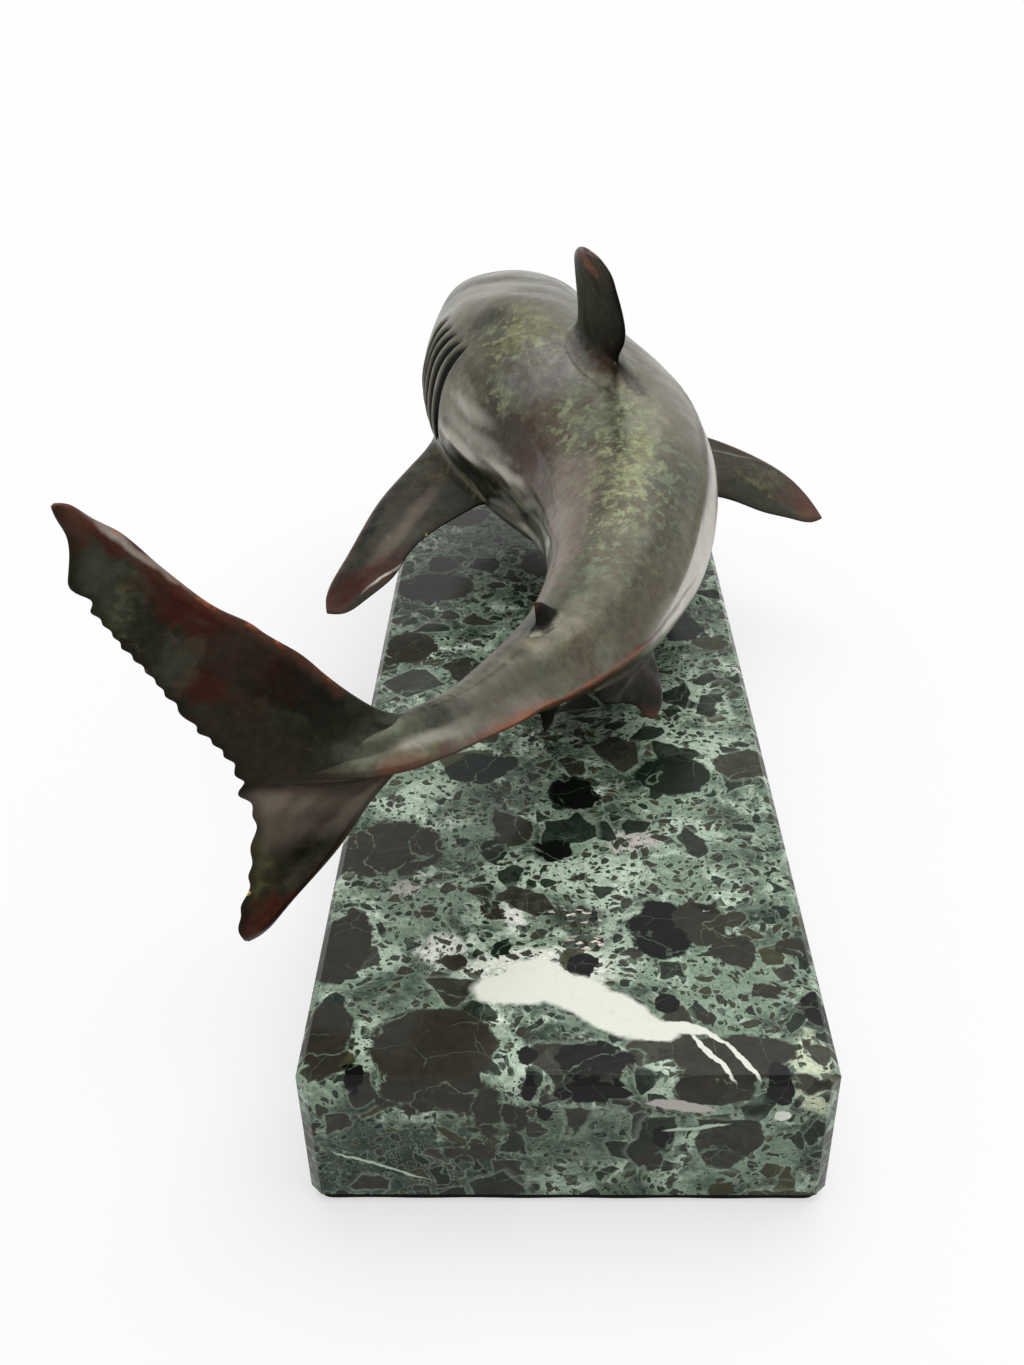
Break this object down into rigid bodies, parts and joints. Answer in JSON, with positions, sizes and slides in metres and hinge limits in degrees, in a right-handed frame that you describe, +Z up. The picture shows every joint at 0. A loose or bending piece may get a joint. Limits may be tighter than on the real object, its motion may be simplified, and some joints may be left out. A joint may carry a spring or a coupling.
{
  "type": "bronze shark sculpture",
  "caption": "Cast bronze shark, bent to one side in mid swim, bolted over a bevelled green marble slab as a desk ornament.",
  "frame": {"origin": "centre of the underside of the felt pad", "axes": "+Z up, +Y along the slab towards the shark's head, +X to the right as seen from the tail end"},
  "size_m": [0.1612, 0.313, 0.1403],
  "materials": {
    "bronze": "cast bronze with a waxed olive, green and brown patina, worn copper at the fin edges",
    "marble": "polished green breccia marble",
    "felt": "dark glued felt",
    "steel": "zinc plated steel"
  },
  "bodies": {
    "root": {"marble_base": "marble", "felt_pad": "felt", "body_casting": "bronze", "tail_casting": "bronze", "dorsal_fin": "bronze", "second_dorsal_fin": "bronze", "anal_fin": "bronze", "left_pectoral_fin": "bronze", "right_pectoral_fin": "bronze", "left_pelvic_fin": "bronze", "right_pelvic_fin": "bronze", "core_plug_1": "bronze", "core_plug_2": "bronze", "core_plug_3": "bronze", "core_plug_4": "bronze", "belly_boss": "bronze", "support_post": "bronze", "threaded_stud": "steel", "locating_pin": "steel", "flat_washer": "steel", "lock_washer": "steel", "hex_nut": "steel"}
  },
  "joints": []
}
